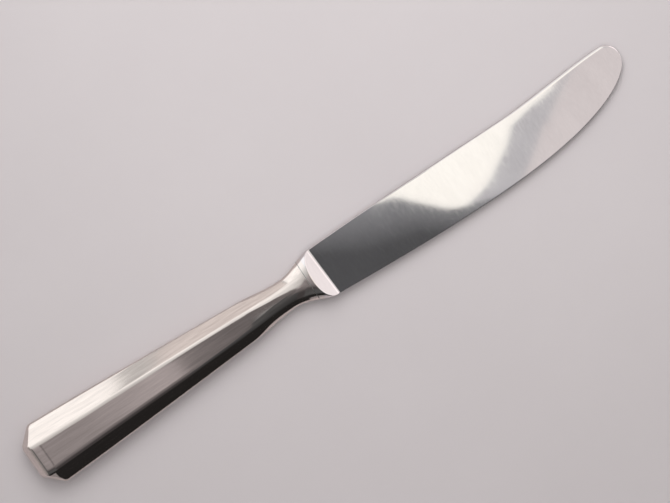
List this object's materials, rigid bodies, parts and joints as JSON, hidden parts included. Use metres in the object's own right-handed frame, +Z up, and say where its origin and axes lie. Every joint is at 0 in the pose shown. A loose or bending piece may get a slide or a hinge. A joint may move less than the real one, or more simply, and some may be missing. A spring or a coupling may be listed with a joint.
{
  "type": "dessert knife",
  "caption": "Dessert knife with a faceted hollow handle, a round neck, a sloping bolster and a polished blade with a rounded tip.",
  "frame": {"origin": "middle of the knife's bounding box, on the surface it lies on", "axes": "+X along the knife from the butt to the tip, +Y across the blade from the edge to the spine, +Z up, from the back of the knife to its front"},
  "size_m": [0.207, 0.0202, 0.0096],
  "materials": {
    "blade_steel": "polished",
    "handle_silver": "satin",
    "solder": "satin",
    "cement": "matte"
  },
  "bodies": {
    "root": {"blade": "blade_steel", "handle_front_shell": "handle_silver", "handle_back_shell": "handle_silver", "seam_solder": "solder", "mouth_solder": "solder", "handle_filler": "cement"}
  },
  "joints": []
}
